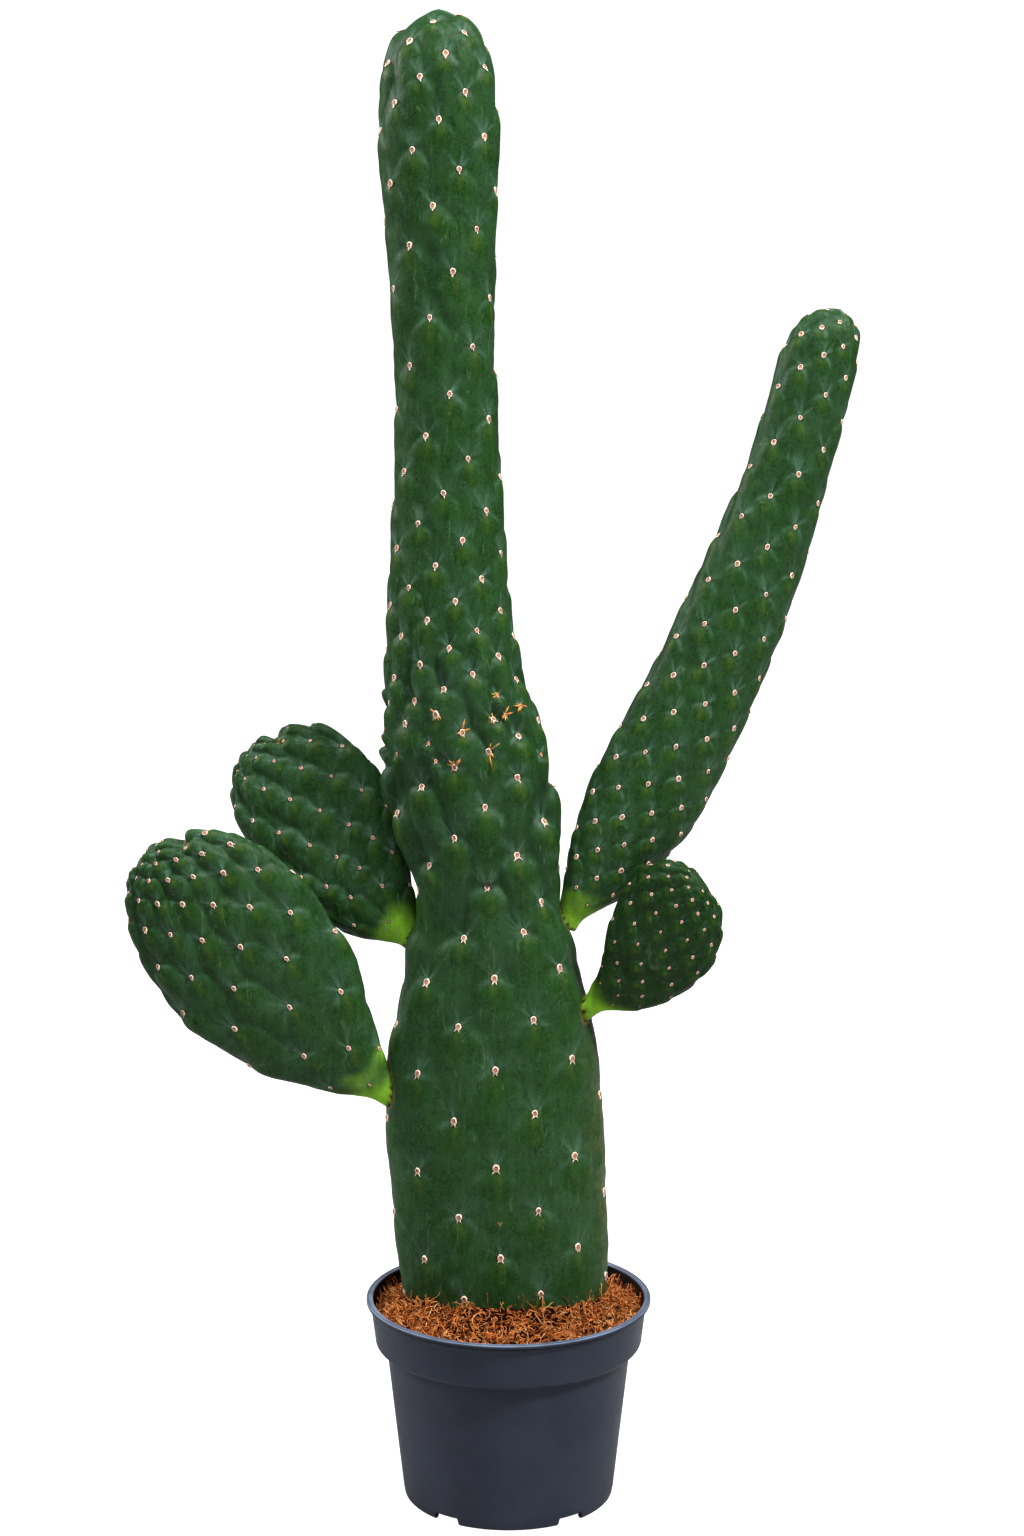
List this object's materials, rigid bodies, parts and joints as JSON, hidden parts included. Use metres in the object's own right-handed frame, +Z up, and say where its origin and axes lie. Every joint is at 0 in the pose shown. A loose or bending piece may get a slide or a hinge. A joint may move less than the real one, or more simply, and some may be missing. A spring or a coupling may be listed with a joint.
{
  "type": "potted prickly pear cactus",
  "caption": "Tall prickly pear cactus with a long side arm and flat pads, knobbly green skin with short spines, standing in coir soil in a round nursery pot.",
  "frame": {"origin": "middle of the pot's flat underside, on the surface that it stands on", "axes": "+Z up along the pot's axis, +X to the side of the long arm, -Y towards the face of the plant"},
  "size_m": [0.5272, 0.2096, 1.08],
  "materials": {
    "anthracite_plastic": "satin",
    "coconut_fibre": "matte",
    "waxy_green_skin": "satin",
    "young_green_skin": "satin"
  },
  "bodies": {
    "root": {"pot": "anthracite_plastic", "coir_soil": "coconut_fibre", "trunk": "waxy_green_skin", "right_arm": "waxy_green_skin", "right_pad": "young_green_skin", "left_upper_pad": "waxy_green_skin", "left_lower_pad": "waxy_green_skin"}
  },
  "joints": []
}
